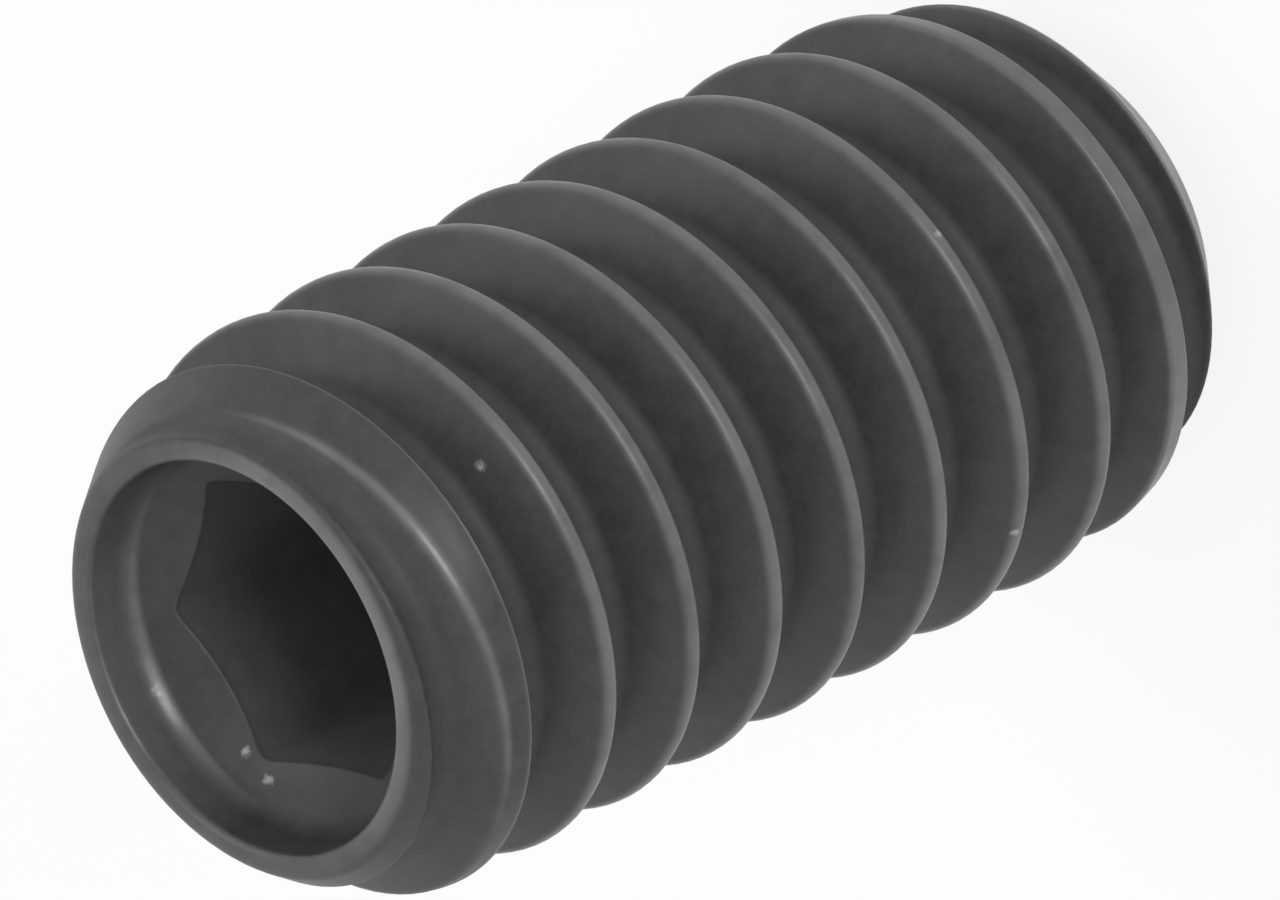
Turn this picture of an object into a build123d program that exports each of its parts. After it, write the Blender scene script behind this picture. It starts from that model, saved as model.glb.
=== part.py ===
from build123d import *
import math
import os

# A socket set screw: a headless steel screw, threaded over its whole length, with a hex socket
# in one end and a flat point on the other. It stands on its point with the socket upwards, and
# its own axis is the Z axis.

# Thread
major_diameter = 6.35
pitch = 1.27
thread_angle = 60.0
crest_share = 1 / 8
root_share = 1 / 4

# Where in its turn the groove passes the +X side, and the whole turns it runs on past each end
start_turn_share = 0.04
spare_turns = 2

# Turned ends: a chamfer at each end runs into a low crown before the full diameter. The point's
# width is a share of that diameter
length = 12.7
point_share = 0.665
point_angle = 90.0
point_crown_drop = 0.36
point_crown_run = 1.9
rim_angle = 66.0
rim_crown_drop = 0.13
rim_crown_run = 1.0

# Socket and its mouth: the width across the hex's flats is a share of the full diameter, and the
# lip around the mouth steps in from the root of the thread
flats_share = 1 / 2
socket_depth = 4.0
drill_angle = 118.0
mouth_depth = 0.62
mouth_angle = 120.0
lip_step = 0.03
lip_width = 0.25
lip_round = 0.1

# How far the groove's cutter stands proud of the crests
overrun = 0.03

major_radius = major_diameter / 2
flank_slope = math.tan(math.radians(thread_angle / 2))
crest_width = pitch * crest_share
root_width = pitch * root_share
thread_depth = (pitch - crest_width - root_width) / 2 / flank_slope
root_radius = major_radius - thread_depth
across_flats = major_diameter * flats_share


def cone_height(radius, angle):
    """The height over which a cone of this full angle widens by this radius."""
    return radius / math.tan(math.radians(angle / 2))


# One turn of the groove between the crests, right-handed
with BuildPart() as groove_turn:
    groove_start = (start_turn_share - spare_turns) * pitch
    cutter_radius = major_radius + overrun
    outer_half = root_width / 2 + (cutter_radius - root_radius) * flank_slope
    with BuildLine() as turn_path:
        Helix(pitch, pitch, root_radius, center=(0, 0, groove_start))
    with BuildSketch(Plane.XZ):
        with BuildLine():
            Polyline(
                (root_radius, groove_start - root_width / 2),
                (cutter_radius, groove_start - outer_half),
                (cutter_radius, groove_start + outer_half),
                (root_radius, groove_start + root_width / 2),
                close=True,
            )
        make_face()
    sweep(path=turn_path.line, is_frenet=True)

with BuildPart() as set_screw:
    # The turned blank, with the mouth of the socket bored and a rounded lip around it
    point_shoulder_radius = major_radius - point_crown_drop
    rim_shoulder_radius = major_radius - rim_crown_drop
    point_radius = major_radius * point_share
    lip_radius = root_radius - lip_step
    mouth_radius = lip_radius - lip_width
    point_shoulder = cone_height(point_shoulder_radius - point_radius, point_angle)
    rim_shoulder = length - cone_height(rim_shoulder_radius - lip_radius, rim_angle)
    mouth_floor = length - mouth_depth
    with BuildSketch(Plane.XZ) as turned:
        with BuildLine():
            lower_crest = (major_radius, point_shoulder + point_crown_run)
            upper_crest = (major_radius, rim_shoulder - rim_crown_run)
            Polyline((0, 0), (point_radius, 0), (point_shoulder_radius, point_shoulder))
            TangentArc(lower_crest, (point_shoulder_radius, point_shoulder), tangent=(0, -1))
            Line(lower_crest, upper_crest)
            TangentArc(upper_crest, (rim_shoulder_radius, rim_shoulder), tangent=(0, 1))
            Polyline(
                (rim_shoulder_radius, rim_shoulder),
                (lip_radius, length),
                (mouth_radius, length),
                (mouth_radius, mouth_floor),
                (0, mouth_floor - cone_height(mouth_radius, mouth_angle)),
                (0, 0),
            )
        make_face()
        fillet(turned.vertices().group_by(Axis.Y)[-1], lip_round)
    revolve(axis=Axis.Z)

    # The thread: the groove cut turn after turn, from below the point to above the rim
    turns = math.ceil(length / pitch) + 2 * spare_turns - 1
    with Locations([(0, 0, turn * pitch) for turn in range(turns)]):
        add(groove_turn.part, mode=Mode.SUBTRACT)

    # The hex socket, with corners towards +X and -X, and the drill's cone at its bottom
    with BuildSketch(Plane.XY.offset(length)):
        RegularPolygon(across_flats / 2, side_count=6, major_radius=False)
    extrude(amount=-socket_depth, mode=Mode.SUBTRACT)
    socket_floor = length - socket_depth
    with BuildSketch(Plane.XZ):
        with BuildLine():
            Polyline(
                (0, socket_floor),
                (across_flats / 2, socket_floor),
                (0, socket_floor - cone_height(across_flats / 2, drill_angle)),
                close=True,
            )
        make_face()
    revolve(axis=Axis.Z, mode=Mode.SUBTRACT)

set_screw.part.label = "set_screw"
os.makedirs("parts", exist_ok=True)
export_step(set_screw.part, "parts/set_screw.step")
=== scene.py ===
# %% [markdown]
# A grub set screw is a headless steel screw that is threaded over its whole length. A hex key goes
# into the socket in one end, and the flat point at the other end presses on whatever the screw
# holds. This lesson makes it in one piece, as it is made in steel: a thread, two turned ends and a
# socket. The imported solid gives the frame, and the finer piece made here takes its place.

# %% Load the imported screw
import math
from collections import namedtuple

import bmesh
import bpy
from mathutils import Matrix, Vector


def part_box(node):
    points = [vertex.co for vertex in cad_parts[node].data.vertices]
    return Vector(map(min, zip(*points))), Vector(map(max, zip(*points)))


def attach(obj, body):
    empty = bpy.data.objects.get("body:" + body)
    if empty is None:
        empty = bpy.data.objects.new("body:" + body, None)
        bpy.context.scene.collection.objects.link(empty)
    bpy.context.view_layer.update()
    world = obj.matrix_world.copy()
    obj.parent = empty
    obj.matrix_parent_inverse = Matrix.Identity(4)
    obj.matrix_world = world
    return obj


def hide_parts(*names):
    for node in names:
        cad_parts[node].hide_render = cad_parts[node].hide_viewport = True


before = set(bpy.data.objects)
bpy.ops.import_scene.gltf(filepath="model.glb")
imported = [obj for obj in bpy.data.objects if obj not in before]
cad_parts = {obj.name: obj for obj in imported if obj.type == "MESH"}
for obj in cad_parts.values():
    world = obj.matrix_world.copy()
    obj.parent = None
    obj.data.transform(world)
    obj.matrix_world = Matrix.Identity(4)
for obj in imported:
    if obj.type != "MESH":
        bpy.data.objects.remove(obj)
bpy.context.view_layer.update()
screw_low, screw_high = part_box("set_screw")
print("packed screw from", screw_low[:], "to", screw_high[:])

# %% [markdown]
# The camera stands far off with a very long lens, as for a catalogue picture of something this
# small, so the far end of the screw looks as wide as the near end. It looks down on the socket at
# a slant and is rolled over, so that the upright screw lies across the picture. The angles were
# found by matching the crest lines of the thread. A camera can be turned with three angles, but a
# matrix made of its own right, up and backward directions is easier to get right for a rolled one.

# %% Camera
MM = 0.001
SLANT = math.radians(50.72)
ROLL = math.radians(27.67)
SWING = math.radians(4.7)
AIM_HEIGHT = 6.582 * MM
STAND_OFF = 427.7 * MM
SENSOR_WIDTH = 36
FOCAL_LENGTH = 1139.4
CLIP_START = 10 * MM
up_side = Vector((math.cos(SWING), -math.sin(SWING), 0))
near_side = Vector((-math.sin(SWING), -math.cos(SWING), 0))
upright = Vector((0, 0, 1))
backward = near_side * math.sin(SLANT) + upright * math.cos(SLANT)
along = near_side * math.cos(SLANT) - upright * math.sin(SLANT)
right = along * math.cos(ROLL) - up_side * math.sin(ROLL)
above = along * math.sin(ROLL) + up_side * math.cos(ROLL)
eye = upright * AIM_HEIGHT + backward * STAND_OFF

lens = bpy.data.cameras.new("long_lens")
lens.sensor_width = SENSOR_WIDTH
lens.lens = FOCAL_LENGTH
lens.clip_start = CLIP_START
camera = bpy.data.objects.new("camera", lens)
camera.matrix_world = Matrix.Translation(eye) @ Matrix((right, above, backward)).transposed().to_4x4()
bpy.context.scene.collection.objects.link(camera)
bpy.context.scene.camera = camera
print("camera at", [round(value, 4) for value in eye])

# %% [markdown]
# The thread of a real screw is rolled: hard dies press a groove into a plain bar, and the metal
# that they push aside makes the crests. Only the shape of one ridge matters, because the same ridge
# winds all the way up. So the outline of one ridge is drawn with six points, from the middle of one
# groove to the middle of the next, and its corners are rounded by a vertex bevel. The long flanks
# are divided, so that the turned ends can be cut cleanly across them later. All sizes are in
# millimetres while the screw is made, and it is scaled to metres at the end.

# %% Outline of one ridge
MAJOR_RADIUS = (screw_high.x - screw_low.x) / 2 / MM
LENGTH = screw_high.z / MM
PITCH = 1.27
FLANK_SLOPE = math.tan(math.radians(30))
CREST_WIDTH = PITCH / 8
ROOT_WIDTH = PITCH / 4
ROOT_RADIUS = MAJOR_RADIUS - (PITCH - CREST_WIDTH - ROOT_WIDTH) / 2 / FLANK_SLOPE
START_TURN = 0.04
CREST_ROUND = 0.068
ROOT_ROUND = 0.12
RIDGE_ROUND_STEPS = 4
FLANK_CUTS = 23
SAME_PLACE = 1e-6


def draw_line(shape, spots):
    """Draws a line through spots, each a radius and a height, and gives its points."""
    points = [shape.verts.new((radius, 0, height)) for radius, height in spots]
    for pair in zip(points, points[1:]):
        shape.edges.new(pair)
    return points


def round_corners(shape, corners, rounding, steps):
    """Rounds some corners of a line."""
    bmesh.ops.bevel(
        shape, geom=corners, offset=rounding, segments=steps, profile=0.5, affect="VERTICES", material=-1
    )


screw = bmesh.new()
ridge_middle = (START_TURN + 0.5) * PITCH
ridge_foot = ridge_middle - PITCH / 2
lower_half = [
    (ROOT_RADIUS, ridge_foot),
    (ROOT_RADIUS, ridge_foot + ROOT_WIDTH / 2),
    (MAJOR_RADIUS, ridge_middle - CREST_WIDTH / 2),
]
upper_half = [(radius, 2 * ridge_middle - height) for radius, height in reversed(lower_half)]
ridge_points = draw_line(screw, lower_half + upper_half)
round_corners(screw, ridge_points[2:4], CREST_ROUND, RIDGE_ROUND_STEPS)
root_corners = [
    point
    for point in screw.verts
    if abs(point.co.x - ROOT_RADIUS) < SAME_PLACE
    and abs(abs(point.co.z - ridge_middle) - PITCH / 2) > SAME_PLACE
]
round_corners(screw, root_corners, ROOT_ROUND, RIDGE_ROUND_STEPS)
flanks = [edge for edge in screw.edges if edge.calc_length() > PITCH / 3]
bmesh.ops.subdivide_edges(screw, edges=flanks, cuts=FLANK_CUTS)
print("ridge outline of", len(screw.verts), "points, flanks", len(flanks))

# %% [markdown]
# A lathe shape is made by turning an outline about an axis. A thread is the same, but the outline
# also climbs by one pitch in each full turn. The spin operator does both: its dvec is the climb of
# each step. One turn is spun and then copied up the screw, because every turn is alike, and that is
# far quicker than spinning them all. Where two turns meet, their points coincide and are merged. Two
# cuts with a plane then give the screw its length. A few more cuts close to each end face only add
# rings of points, because the edges of the faces are rounded there later.

# %% Wind the thread
STEPS = 96
SPARE_TURNS = 2
MERGE_REACH = 1e-3
CUT_REACH = 1e-5
END_RINGS = (0.01, 0.02, 0.035, 0.06, 0.09, 0.12)


def all_parts():
    """Every point, edge and face of the screw."""
    return screw.verts[:] + screw.edges[:] + screw.faces[:]


def cut_level(height, facing, clear):
    """Cuts the screw with a level plane, and may clear what lies on the side that the plane faces."""
    bmesh.ops.bisect_plane(
        screw,
        geom=all_parts(),
        dist=CUT_REACH,
        plane_co=(0, 0, height),
        plane_no=(0, 0, facing),
        clear_outer=clear,
    )


bmesh.ops.spin(
    screw,
    geom=screw.verts[:] + screw.edges[:],
    axis=(0, 0, 1),
    dvec=(0, 0, PITCH / STEPS),
    angle=math.tau,
    steps=STEPS,
)
one_turn = all_parts()
for turn in range(-SPARE_TURNS, math.ceil(LENGTH / PITCH)):
    if turn:
        copy = bmesh.ops.duplicate(screw, geom=one_turn)["geom"]
        points = [part for part in copy if isinstance(part, bmesh.types.BMVert)]
        bmesh.ops.translate(screw, verts=points, vec=(0, 0, turn * PITCH))
bmesh.ops.remove_doubles(screw, verts=screw.verts[:], dist=MERGE_REACH)
for height, facing in ((0, -1), (LENGTH, 1)):
    cut_level(height, facing, True)
    for depth in END_RINGS:
        cut_level(height - facing * depth, 1, False)
print("thread of", len(screw.faces), "faces")

# %% [markdown]
# Both ends are turned, so that the screw starts easily in its hole. A cone takes the crests down at
# each end, and a low crown eases the last turn into it. A lathe tool lets nothing stand outside its
# line, so the first thing to work out is that line: the radius that the tool leaves at each depth
# below an end face. It could be drawn and spun as a blank, but as a formula it can be asked about
# any point of the thread.

# %% Line of the lathe tool
End = namedtuple("End", "face_radius slant edge_round crown_drop crown_run")
POINT_SHARE = 0.665
POINT_SLANT = math.radians(45)
LIP_STEP = 0.03
LIP_RADIUS = ROOT_RADIUS - LIP_STEP
RIM_SLANT = math.radians(33)
EDGE_BLEND = 0.05
POINT_END = End(MAJOR_RADIUS * POINT_SHARE, POINT_SLANT, edge_round=0.1, crown_drop=0.36, crown_run=1.9)
SOCKET_END = End(LIP_RADIUS, RIM_SLANT, edge_round=0.25, crown_drop=0.13, crown_run=1.0)


def blend_least(first, second, width):
    """The lesser of two values, eased into each other where they differ by less than width."""
    near = max(1 - abs(first - second) / width, 0) if width else 0
    return min(first, second) - near * near * width / 4


def cone_radius(depth, end):
    """The radius at a depth below an end face, on its cone with a rounded edge."""
    turn_angle = math.pi / 2 - end.slant
    if depth < end.edge_round * (1 - math.cos(turn_angle)):
        setback = end.edge_round * math.tan(turn_angle / 2)
        return end.face_radius - setback + math.sqrt(end.edge_round**2 - (end.edge_round - depth) ** 2)
    return end.face_radius + depth * math.tan(end.slant)


def crown_radius(depth, end):
    """The radius at a depth, on the low crown that drops from the full diameter to the cone."""
    sweep = (end.crown_run**2 + end.crown_drop**2) / 2 / end.crown_drop
    shoulder = (MAJOR_RADIUS - end.crown_drop - end.face_radius) / math.tan(end.slant)
    short = min(max(shoulder + end.crown_run - depth, 0), sweep)
    return MAJOR_RADIUS - sweep + math.sqrt(sweep**2 - short**2)


def nearest_end(place):
    """The end that a place is nearer to, and its depth below that end's face."""
    if place.z < LENGTH / 2:
        return POINT_END, max(place.z, 0)
    return SOCKET_END, max(LENGTH - place.z, 0)


def tool_radius(place):
    """The radius of the tool's line at the height of a place."""
    end, depth = nearest_end(place)
    return blend_least(crown_radius(depth, end), cone_radius(depth, end), EDGE_BLEND)


print("tool's line at the rim", round(tool_radius(Vector((0, 0, LENGTH))), 3), "mm from the axis")

# %% [markdown]
# The black finish wears off first where things rub: on the crests, on the turned edges and on the
# lip round the socket. The grooves are made duller, as painted shade where shade falls in them. No
# pattern in space can tell an edge from a groove, so each point of the mesh gets a number of its own,
# in a layer that the material reads later as an attribute: 1 is worn, 0 is not, and below 0 is dull,
# as painted shade. The same number carries painted light. It is set before the ends are turned,
# because a point then still shows by how much the tool cuts it. The turned edges at the socket get a
# painted glint, brightest on the near side that faces the camera, and at the point all of the turned
# land is worn, which also lightens it as painted light where the floor shades it.

# %% Wear, painted glints and painted shade on the thread
WEAR_AND_GLINT_REACH = 0.04
CREST_WEAR = 0.85
CUT_GLINT = 1.9
GLINT_FOCUS = 40
CUT_DEPTH = 0.1
ROOT_SHADE = 1.5
ROOT_SHADE_REACH = 0.25
RIM_CLEAR = 0.3
LIP_WEAR_AND_GLINT = 1.3
LIP_REACH = 0.045
LIP_LEAST_SHARE = 0.3


def share_towards(place, side):
    """1 for a place straight towards a side of the screw, and 0 from a quarter turn away onwards."""
    return max(place.xy.normalized().dot(side.xy), 0)


def lip_wear_and_glint(place):
    """How worn the lip is at a place: worn all round, with a painted highlight on its near side."""
    return LIP_WEAR_AND_GLINT * (LIP_LEAST_SHARE + (1 - LIP_LEAST_SHARE) * share_towards(place, near_side))


def thread_wear_and_shading(place):
    """How worn the thread is at a place, with a painted glint on the socket's turned edges and painted
    shade in the roots.
    """
    radius, tool = place.xy.length, tool_radius(place)
    gap, most = radius - tool, CREST_WEAR
    # At the point the whole turned land is worn, and this also lightens it as painted light where the floor
    # shades it.
    if nearest_end(place)[0] is POINT_END:
        gap = min(gap, 0)
    else:
        near = share_towards(place, near_side)
        # Painted glint: the socket's turned edges are lit up on the near side, most of all in a short
        # bright stretch.
        painted_glint = CREST_WEAR * near + (CUT_GLINT - CREST_WEAR) * near**GLINT_FOCUS
        most += (painted_glint - CREST_WEAR) * min((MAJOR_RADIUS - tool) / CUT_DEPTH, 1)
    # Painted shade: the roots are made duller, where shade falls in the grooves.
    painted_shade = ROOT_SHADE * max(1 - (radius - ROOT_RADIUS) / ROOT_SHADE_REACH, 0)
    return most * math.exp(-((gap / WEAR_AND_GLINT_REACH) ** 2)) - painted_shade


# Each point's number holds its wear, with painted glints, painted light and painted shade.
wear_light_and_shade = screw.verts.layers.float.new("wear_light_and_shade")
for point in screw.verts:
    point[wear_light_and_shade] = thread_wear_and_shading(point.co)
    end, depth = nearest_end(point.co)
    if end is SOCKET_END and depth < RIM_CLEAR:
        point[wear_light_and_shade] *= (depth / RIM_CLEAR) ** 2
        # The lip's wear, with a painted highlight on its near side.
        point[wear_light_and_shade] += lip_wear_and_glint(point.co) * max(1 - depth / LIP_REACH, 0)
wear_and_light_count = sum(point[wear_light_and_shade] > CREST_WEAR / 2 for point in screw.verts)
print("worn points", wear_and_light_count, "of", len(screw.verts))

# %% [markdown]
# Now the ends are turned. Each point that stands further out than the tool's line is brought in to
# it. A Boolean with a turned blank would cut the same shape, but its edges would be razor sharp.
# Here the thread and the tool's line are blended over a few hundredths of a millimetre, which leaves
# the soft edges that catch the light on a real screw.

# %% Turn both ends
for point in screw.verts:
    radius, tool = point.co.xy.length, tool_radius(point.co)
    turned = blend_least(radius, tool, min(EDGE_BLEND, 2 * (MAJOR_RADIUS - tool)))
    point.co.xy *= turned / radius
print("widest point", round(max(point.co.xy.length for point in screw.verts), 4), "mm")

# %% [markdown]
# The socket grows inwards from the rim that the cut has left: a rounded lip, a short straight wall and
# a cone that leads the key in. Each step extrudes the last ring of edges and moves its points to the
# next place on that section, whose corners are rounded by a vertex bevel as the ridge's were. A second
# lathe shape could be spun and bridged to the rim, but the cut rim has more points than a spun ring,
# and a bridge between unlike rings can twist. The first ring is evenly spaced for the same reason. The
# far wall of the mouth is made lighter, as painted light, and its lower side duller, as painted shade.

# %% Rings that grow inwards
SPOKE_ANGLE = math.tau / STEPS


def unworn(place):
    """The finish as it came from the bath."""
    return 0


def extrude_ring(ring, move, wear_and_shading=unworn):
    """Extrudes a ring of edges, moves its new points, sets their wear and painted light and gives the new
    ring.
    """
    made = bmesh.ops.extrude_edge_only(screw, edges=ring)["geom"]
    points = {part for part in made if isinstance(part, bmesh.types.BMVert)}
    for point in points:
        point.co = move(point.co)
        point[wear_light_and_shade] = wear_and_shading(point.co)
    return [part for part in made if isinstance(part, bmesh.types.BMEdge) and points.issuperset(part.verts)]


def to_circle(radius, height):
    """Moves a point straight in or out to a circle round the axis."""
    return lambda place: Vector((*(place.xy.normalized() * radius), height))


def to_spokes(radius, height):
    """Moves a point to the nearest of the even spokes on such a circle."""

    def move(place):
        spoke = round(math.atan2(place.y, place.x) / SPOKE_ANGLE)
        return Matrix.Rotation(spoke * SPOKE_ANGLE, 3, "Z") @ Vector((radius, 0, height))

    return move


def open_rim(upper):
    """The open edges at one end of the screw."""
    return [edge for edge in screw.edges if edge.is_boundary and (edge.verts[0].co.z > LENGTH / 2) == upper]


def even_ring(upper, radius, height, wear_and_shading=unworn):
    """Extrudes the open rim at one end to evenly spaced points and gives the new ring."""
    ring = extrude_ring(open_rim(upper), to_spokes(radius, height), wear_and_shading)
    points = list({point for edge in ring for point in edge.verts})
    bmesh.ops.remove_doubles(screw, verts=points, dist=MERGE_REACH)
    return open_rim(upper)


print("open edges at the socket end", len(open_rim(True)))

# %% Lip and mouth
LIP_WIDTH = 0.25
LIP_ROUND = 0.1
LIP_LAND = 0.005
MOUTH_RADIUS = LIP_RADIUS - LIP_WIDTH
MOUTH_DEPTH = 0.62
MOUTH_SLANT = math.radians(60)
MOUTH_CORNER = 0.2
MOUTH_ROUND_STEPS = 5
CONE_END = 1.95
FAR_WALL_LIGHT = 1.2
LOW_SIDE_SHADE = 1.2
SORTING_DIGITS = 4


def cone_height(radius):
    """The height of the mouth's cone at a radius."""
    return LENGTH - MOUTH_DEPTH - (MOUTH_RADIUS - radius) / math.tan(MOUTH_SLANT)


def mouth_wear_and_shading(place):
    """How worn the mouth is at a place, with the lip's near-side highlight, the far wall made lighter as
    painted light and the lower side made duller as painted shade.
    """
    if place.z > LENGTH - LIP_ROUND / 2:
        return lip_wear_and_glint(place)
    # Painted shade: the mouth's lower side is made duller.
    painted_shade = LOW_SIDE_SHADE * share_towards(place, -up_side)
    if place.xy.length < MOUTH_RADIUS - MOUTH_CORNER / 2:
        return -painted_shade
    # Painted light: the far wall, which faces the camera, is made lighter.
    return FAR_WALL_LIGHT * share_towards(place, -near_side) - painted_shade


section = bmesh.new()
section_line = (
    (MOUTH_RADIUS + LIP_ROUND + LIP_LAND, LENGTH),
    (MOUTH_RADIUS, LENGTH),
    (MOUTH_RADIUS, LENGTH - MOUTH_DEPTH),
    (CONE_END, cone_height(CONE_END)),
)
section_points = draw_line(section, section_line)
for corner, rounding in ((section_points[1], LIP_ROUND), (section_points[2], MOUTH_CORNER)):
    round_corners(section, [corner], rounding, MOUTH_ROUND_STEPS)
stations = [(point.co.x, point.co.z) for point in section.verts]
stations.sort(key=lambda spot: (-round(spot[0], SORTING_DIGITS), -spot[1]))
section.free()

mouth_ring = even_ring(True, *stations[0], mouth_wear_and_shading)
for radius, height in stations[1:]:
    mouth_ring = extrude_ring(mouth_ring, to_circle(radius, height), mouth_wear_and_shading)
print("mouth of", len(stations), "rings with", len(mouth_ring), "edges each")

# %% [markdown]
# The hex was pressed into the cone, so its mouth is a ring of six scallops. To get them, the cone's
# last ring of points is pushed in to the six flats and kept on the cone. Cutting the cone with six
# planes would do too, but leaves slivers. A few close rings round the edge of the hex, and then the
# ring is extruded straight down for the walls, in to the drilled hole and down to the tip of the
# drill's cone. The point at the other end of the screw is closed in the same way, with flat rings
# that end in its centre.

# %% Hex socket and point
SOCKET_DEPTH = 4.0
HALF_FLATS = MAJOR_RADIUS / 2
HEX_CORNER_CUT = 0.03
HEX_CORNER = HALF_FLATS / math.cos(math.pi / 6) - HEX_CORNER_CUT
HEX_EDGE = 0.03
HEX_EDGE_STEPS = 4
SOCKET_WEAR_AND_LIGHT = 1.1
HEX_EDGE_WEAR_AND_LIGHT = SOCKET_WEAR_AND_LIGHT / 2
WALL_START = 2 * HEX_EDGE
DRILL_SHARE = 0.97
DRILL_RADIUS = HALF_FLATS * DRILL_SHARE
DRILL_SLANT = math.radians(59)
POINT_RINGS = (1.9, 1.2, 0.5)


def to_hex(share):
    """Moves a point to the hex's rounded edge, at a share of the way from the cone to the flats."""

    def move(place):
        fold = math.atan2(place.y, place.x) % (math.pi / 3) - math.pi / 6
        radius = min(HALF_FLATS / math.cos(fold), HEX_CORNER)
        edge = Vector((radius, cone_height(radius)))
        on_cone = edge + Vector((math.sin(MOUTH_SLANT), math.cos(MOUTH_SLANT))) * HEX_EDGE
        on_flat = edge - Vector((0, HEX_EDGE))
        rounded = on_cone.lerp(edge, share).lerp(edge.lerp(on_flat, share), share)
        return to_circle(rounded.x, rounded.y)(place)

    return move


def socket_wear_and_light(place):
    """The key has rubbed the walls of the socket all over, and they are made lighter still, as painted
    light in the dark hole.
    """
    return SOCKET_WEAR_AND_LIGHT


socket_floor = LENGTH - SOCKET_DEPTH
drill_tip = Vector((0, 0, socket_floor - DRILL_RADIUS / math.tan(DRILL_SLANT)))
hex_ring = mouth_ring
for step in range(HEX_EDGE_STEPS + 1):
    share = step / HEX_EDGE_STEPS
    # The hex's edge rises towards the socket's wear and painted light.
    hex_ring = extrude_ring(hex_ring, to_hex(share), lambda place: HEX_EDGE_WEAR_AND_LIGHT * share)
wall_ring = extrude_ring(hex_ring, lambda place: place - upright * WALL_START, socket_wear_and_light)
floor_ring = extrude_ring(wall_ring, lambda place: Vector((*place.xy, socket_floor)), socket_wear_and_light)
drill_ring = extrude_ring(floor_ring, to_circle(DRILL_RADIUS, socket_floor), socket_wear_and_light)
extrude_ring(drill_ring, lambda place: drill_tip, socket_wear_and_light)

foot_ring = even_ring(False, POINT_RINGS[0], 0)
for radius in POINT_RINGS[1:]:
    foot_ring = extrude_ring(foot_ring, to_circle(radius, 0))
extrude_ring(foot_ring, lambda place: Vector((0, 0, 0)))
print("drill tip", round(drill_tip.z, 2), "mm above the point")

# %% [markdown]
# All is one skin now. The points that were drawn together at the tips are merged, all faces are turned
# outwards, and the shading is smooth except at the few corners that are really sharp.

# %% Close the screw
TIP_MERGE_REACH = 2e-3
SHORTEST_EDGE = 1e-4
SHARP_ANGLE = math.radians(40)
bmesh.ops.remove_doubles(screw, verts=screw.verts[:], dist=TIP_MERGE_REACH)
bmesh.ops.dissolve_degenerate(screw, edges=screw.edges[:], dist=SHORTEST_EDGE)
bmesh.ops.recalc_face_normals(screw, faces=screw.faces[:])
for face in screw.faces:
    face.smooth = True
for edge in screw.edges:
    edge.smooth = edge.calc_face_angle(0) < SHARP_ANGLE
print("closed:", all(edge.is_manifold for edge in screw.edges), "with", len(screw.faces), "faces")
bmesh.ops.scale(screw, vec=(MM, MM, MM), verts=screw.verts[:])
screw_mesh = bpy.data.meshes.new("threaded_screw")
screw.to_mesh(screw_mesh)
screw.free()
threaded_screw = bpy.data.objects.new("threaded_screw", screw_mesh)
bpy.context.scene.collection.objects.link(threaded_screw)
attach(threaded_screw, "root")
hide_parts("set_screw")

# %% [markdown]
# The black is an oxide layer, a few thousandths of a millimetre thick, that is grown on the steel in a
# hot bath. It is a neutral charcoal with a satin gleam, faintly mottled. Where the mesh's number of wear
# and painted light is high it gives way to grey steel, in uneven stretches, and clean steel shows in the
# painted glints on the near edges and in six small nicks. Where the number is below 0 the finish is made
# rougher, as painted shade. A photograph of steel could be wrapped round the screw instead, but it
# would stretch on the flanks. So the material is written as arithmetic: a small class wraps a socket,
# and an expression in Python adds the Math nodes. All patterns read Object coordinates, scaled to
# millimetres.

# %% Arithmetic for materials
class Wire:
    """A value in a material. Arithmetic on it adds Math nodes."""

    def __init__(self, tree, socket):
        self.tree = tree
        self.socket = socket

    @staticmethod
    def node(tree, kind, settings, inputs, output=0):
        """Adds a node, sets it up, fills or links its sockets and gives one of its outputs."""
        added = tree.nodes.new(kind)
        for name, value in settings.items():
            setattr(added, name, value)
        for name, value in inputs.items():
            if isinstance(value, Wire):
                tree.links.new(value.socket, added.inputs[name])
            else:
                added.inputs[name].default_value = value
        return Wire(tree, added.outputs[output]) if added.outputs else None

    def combine(self, operation, first, second):
        """Adds a Math node for two values, one of which may be a plain number."""
        return Wire.node(self.tree, "ShaderNodeMath", {"operation": operation}, {0: first, 1: second})

    def __add__(self, other):
        return self.combine("ADD", self, other)

    def __sub__(self, other):
        return self.combine("SUBTRACT", self, other)

    def __rsub__(self, other):
        return self.combine("SUBTRACT", other, self)

    def __mul__(self, other):
        return self.combine("MULTIPLY", self, other)

    __radd__ = __add__
    __rmul__ = __mul__

    def least(self, other):
        """The lesser of two values."""
        return self.combine("MINIMUM", self, other)

    def most(self, other):
        """The greater of two values."""
        return self.combine("MAXIMUM", self, other)

    def ramp(self, start, end):
        """0 below start, 1 above end and a smooth rise between them."""
        settings = {"interpolation_type": "SMOOTHSTEP"}
        inputs = {"Value": self, "From Min": start, "From Max": end}
        return Wire.node(self.tree, "ShaderNodeMapRange", settings, inputs)


def start_tree(owner):
    """Gives the empty node tree of a material or a world."""
    owner.use_nodes = True
    owner.node_tree.nodes.clear()
    return owner.node_tree


def noise(tree, place, scale, detail):
    """A cloud of values from 0 to 1, with this many patches to a millimetre."""
    return Wire.node(tree, "ShaderNodeTexNoise", {}, {"Vector": place, "Scale": scale, "Detail": detail})


def mix_colours(tree, share, first, second):
    """A colour between two others. Sockets 6 and 7 and output 2 are the node's colours."""
    inputs = {"Factor": share, 6: first, 7: second}
    return Wire.node(tree, "ShaderNodeMix", {"data_type": "RGBA"}, inputs, 2)


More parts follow.
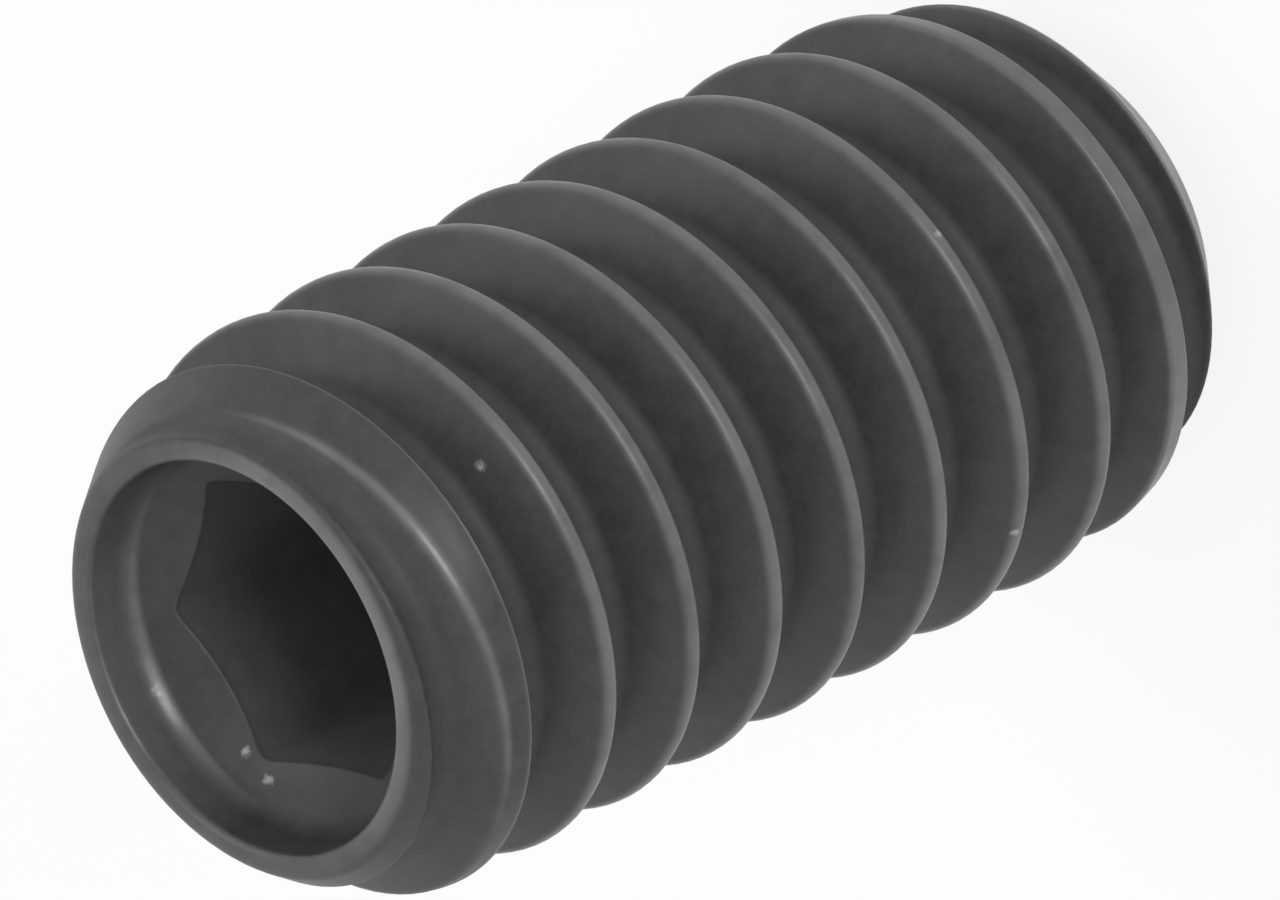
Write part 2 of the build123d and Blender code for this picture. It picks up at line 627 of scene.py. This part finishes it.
# %% Patterns of the oxide
MIDDLE = 0.5
black_steel = bpy.data.materials.new("black_steel")
tree = start_tree(black_steel)
metres = Wire.node(tree, "ShaderNodeTexCoord", {}, {}, "Object")
place = Wire.node(tree, "ShaderNodeVectorMath", {"operation": "SCALE"}, {"Vector": metres, "Scale": 1 / MM})
# The mesh's number of wear, painted glints, painted light and painted shade.
wear_and_shading = Wire.node(tree, "ShaderNodeAttribute", {"attribute_name": "wear_light_and_shade"}, {}, "Fac")
clouds = noise(tree, place, scale=0.9, detail=3.0)
grain = noise(tree, place, scale=14.0, detail=3.0)
patches = noise(tree, place, scale=4.0, detail=2.0)
stretches = noise(tree, place, scale=0.7, detail=2.0)
print("patterns of", len(tree.nodes), "nodes")

# %% Worn edges, painted glints and nicks
MOST_BARE = 1.2
EVEN_SHARE = 0.55
STRETCH_SHARE = 0.25
PATCH_SHARE = 0.2
NICK_SIZE = 0.08
NICK_FRAY = 2 * NICK_SIZE
NICKS = (
    (0.391, -2.786, 10.844),
    (0.300, -3.160, 4.150),
    (-2.763, -1.560, 4.008),
    (0.304, 2.186, 12.163),
    (-0.745, 1.715, 11.885),
    (-1.130, 1.573, 11.924),
)
long_stretches = stretches.ramp(0.35, 0.65)
small_patches = patches.ramp(0.2, 0.7)
unevenness = EVEN_SHARE + STRETCH_SHARE * long_stretches + PATCH_SHARE * small_patches
# Grey steel where the mesh is worn and where it carries painted light; clean steel in the painted glints
# and the nicks.
bare_and_lit = wear_and_shading.least(MOST_BARE) * unevenness
clean_and_glint = wear_and_shading.ramp(MOST_BARE, CUT_GLINT)
for nick in NICKS:
    gap = Wire.node(tree, "ShaderNodeVectorMath", {"operation": "DISTANCE"}, {0: place, 1: nick}, "Value")
    clean_and_glint = 1 - (gap + (grain - MIDDLE) * NICK_FRAY).ramp(0, NICK_SIZE) + clean_and_glint
print("nicks", len(NICKS), "of", NICK_SIZE, "mm")

# %% Black oxide finish
CLOUD_WEIGHT = 0.6
PATCH_WEIGHT = 0.8
GRAIN_WEIGHT = 0.6
DARK_OXIDE = (0.024, 0.024, 0.025, 1)
LIGHT_OXIDE = (0.056, 0.056, 0.058, 1)
WORN_AND_LIT_STEEL = (0.155, 0.155, 0.155, 1)
CLEAN_STEEL_AND_GLINT = (0.30, 0.30, 0.30, 1)
BARE_METAL = 0.3
SATIN = 0.40
GRAIN_ROUGHNESS = 0.10
POLISH_AND_DULLING = 0.12
GLEAM = 0.35
GRAIN_STRENGTH = 0.15
GRAIN_HEIGHT = 0.01 * MM
mottle = (clouds - MIDDLE) * CLOUD_WEIGHT + (patches - MIDDLE) * PATCH_WEIGHT
mottle = mottle + (grain - MIDDLE) * GRAIN_WEIGHT
oxide = mix_colours(tree, mottle + MIDDLE, DARK_OXIDE, LIGHT_OXIDE)
worn_and_lit_colour = mix_colours(tree, bare_and_lit, oxide, WORN_AND_LIT_STEEL)
steel = {
    "Base Color": mix_colours(tree, clean_and_glint, worn_and_lit_colour, CLEAN_STEEL_AND_GLINT),
    "Metallic": bare_and_lit * BARE_METAL,
    "Specular IOR Level": GLEAM,
    # Worn places are smoother, and places below 0 rougher, as painted shade.
    "Roughness": SATIN + grain * GRAIN_ROUGHNESS - bare_and_lit * POLISH_AND_DULLING,
    "Normal": Wire.node(
        tree, "ShaderNodeBump", {}, {"Strength": GRAIN_STRENGTH, "Distance": GRAIN_HEIGHT, "Height": grain}
    ),
}
surface = Wire.node(tree, "ShaderNodeBsdfPrincipled", {}, steel)
Wire.node(tree, "ShaderNodeOutputMaterial", {}, {"Surface": surface})
screw_mesh.materials.append(black_steel)
print("black oxide of", len(tree.nodes), "nodes")

# %% [markdown]
# The screw stands on a plain white floor, a hair below its point so that the two flat faces don't
# flicker through each other. To the camera and in the gleam of the steel, most of the floor's white is
# its own glow at strength 1, so that it is as white as paper without more light on the screw. The rest
# is plain white paint, which keeps the soft shadow under the screw.

# %% Floor
FLOOR_REACH = 1.5
FLOOR_GAP = 0.02 * MM
GLOW_SHARE = 0.85
FLOOR_PAINT = (0.9, 0.9, 0.9, 1)
WHITE = (1, 1, 1, 1)


def seen_directly(tree):
    """1 for a ray from the camera, off metal or through glass, and 0 for light that falls on things."""
    kinds = ("Is Camera Ray", "Is Glossy Ray", "Is Transmission Ray")
    rays = [Wire.node(tree, "ShaderNodeLightPath", {}, {}, kind) for kind in kinds]
    return rays[0].most(rays[1]).most(rays[2])


floor_shape = bmesh.new()
bmesh.ops.create_grid(floor_shape, x_segments=1, y_segments=1, size=FLOOR_REACH)
bmesh.ops.translate(floor_shape, verts=floor_shape.verts[:], vec=(0, 0, -FLOOR_GAP))
floor_mesh = bpy.data.meshes.new("floor")
floor_shape.to_mesh(floor_mesh)
floor_shape.free()
floor = bpy.data.objects.new("floor", floor_mesh)
bpy.context.scene.collection.objects.link(floor)

white_floor = bpy.data.materials.new("white_floor")
tree = start_tree(white_floor)
paint = Wire.node(tree, "ShaderNodeBsdfDiffuse", {}, {"Color": FLOOR_PAINT})
glow = Wire.node(tree, "ShaderNodeEmission", {}, {"Color": WHITE, "Strength": 1.0})
glow_share = seen_directly(tree) * GLOW_SHARE
floor_surface = Wire.node(tree, "ShaderNodeMixShader", {}, {0: glow_share, 1: paint, 2: glow})
Wire.node(tree, "ShaderNodeOutputMaterial", {}, {"Surface": floor_surface})
floor_mesh.materials.append(white_floor)
print("floor", 2 * FLOOR_REACH, "m wide")

# %% [markdown]
# Three soft lamps stand round the screw, as in a small light tent. The main one is small and stands
# low on the near side, where it draws a short glint on each crest. One high up on the upper side
# lights the flanks along the picture's upper edge, and a weak one opposite fills the lower side. The
# white world is the cloth of the tent: an even grey light on the screw, and white where the camera or
# the steel sees it. A single big lamp would be simpler, but it would wash the glints out. Lamps this
# close are weak, because the screw is only a few millimetres wide.

# %% Lamps
def towards(near, high, upper):
    """A direction made of shares of the near side, straight up and the picture's upper side."""
    return near_side * near + upright * high + up_side * upper


def lamp(name, direction, distance, width, power):
    """A square soft lamp that faces the middle of the screw."""
    data = bpy.data.lights.new(name, "AREA")
    data.size = width
    data.energy = power
    spot = upright * AIM_HEIGHT + direction.normalized() * distance
    made = bpy.data.objects.new(name, data)
    made.matrix_world = Matrix.Translation(spot) @ direction.to_track_quat("Z", "Y").to_matrix().to_4x4()
    bpy.context.scene.collection.objects.link(made)
    print(name, "at", [round(value, 3) for value in spot])


lamp("main_lamp", towards(near=0.94, high=0.33, upper=0.02), distance=0.30, width=0.10, power=0.30)
lamp("back_lamp", towards(near=-0.13, high=0.80, upper=0.57), distance=0.30, width=0.18, power=0.20)
lamp("fill_lamp", towards(near=-0.1, high=0.75, upper=-0.6), distance=0.35, width=0.25, power=0.09)

# %% World
WORLD_GREY = 0.70
world = bpy.data.worlds.new("light_tent")
tree = start_tree(world)
tent_light = seen_directly(tree) * (1 - WORLD_GREY) + WORLD_GREY
tent = Wire.node(tree, "ShaderNodeBackground", {}, {"Color": WHITE, "Strength": tent_light})
Wire.node(tree, "ShaderNodeOutputWorld", {}, {"Surface": tent})
bpy.context.scene.world = world
print("world light", WORLD_GREY)

# %% [markdown]
# Colours are shown as they are, without a film look.

# %% Colours as they are
bpy.context.scene.view_settings.view_transform = "Standard"
